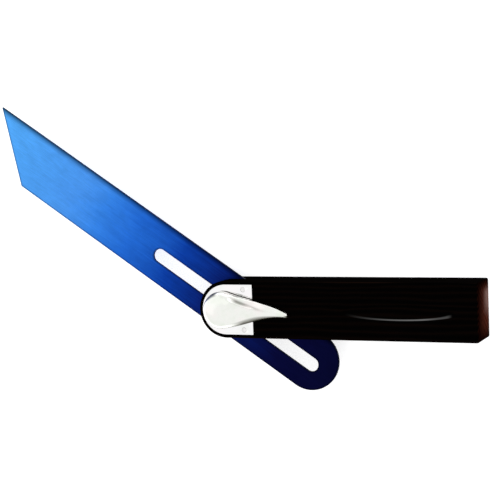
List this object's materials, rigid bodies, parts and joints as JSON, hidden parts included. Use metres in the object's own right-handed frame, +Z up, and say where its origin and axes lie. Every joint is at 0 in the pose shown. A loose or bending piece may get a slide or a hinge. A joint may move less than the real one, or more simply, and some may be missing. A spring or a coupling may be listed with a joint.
{
  "type": "sliding bevel",
  "caption": "Sliding bevel: a slotted, slant-tipped steel blade turns and slides on a lever-locked pivot in the kerf of a round-nosed wooden stock with inlaid metal plates.",
  "frame": {"origin": "middle of the bare wood on the stock's rear face, which is the face that the tool lies on", "axes": "+X along the stock towards its butt, +Y across the stock towards the side where the blade's tip stands at rest, +Z up out of the stock's front face"},
  "size_m": [0.2134, 0.1216, 0.0249],
  "materials": {
    "stock_wood": "nearly black rosewood, polished, with brown end grain",
    "plate_nickel": "polished nickel plate",
    "pin_nickel": "ground flush and plated with the plate",
    "screw_steel": "turned bright steel",
    "blade_blued_steel": "blued spring steel, brushed lengthwise",
    "washer_brass": "plain rolled brass",
    "lever_nickel": "polished nickel plate on a casting"
  },
  "bodies": {
    "stock": {"stock": "stock_wood", "front_plate": "plate_nickel", "rear_plate": "plate_nickel", "front_plate_pin_1": "pin_nickel", "front_plate_pin_2": "pin_nickel", "front_plate_pin_3": "pin_nickel", "rear_plate_pin_1": "pin_nickel", "rear_plate_pin_2": "pin_nickel", "rear_plate_pin_3": "pin_nickel", "pivot_screw": "screw_steel", "lever_washer": "screw_steel"},
    "swivel": {"kerf_washer_front": "washer_brass", "kerf_washer_rear": "washer_brass"},
    "blade": {"blade": "blade_blued_steel"},
    "lever": {"lever": "lever_nickel", "lever_nut": "screw_steel"}
  },
  "joints": [
    {"name": "blade_turn", "type": "hinge", "parent": "stock", "child": "swivel", "pos_m": [-0.0602, 0, 0.009], "axis": [0, 0, 1], "range_deg": [-126, 193]},
    {"name": "blade_slide", "type": "slide", "parent": "swivel", "child": "blade", "axis": [-0.8305, 0.557, 0], "range_m": [-0.0385, 0.0421]},
    {"name": "lever_turn", "type": "hinge", "parent": "stock", "child": "lever", "pos_m": [-0.0602, 0, 0.0189], "axis": [0, 0, 1], "range_deg": [0, 120]}
  ]
}
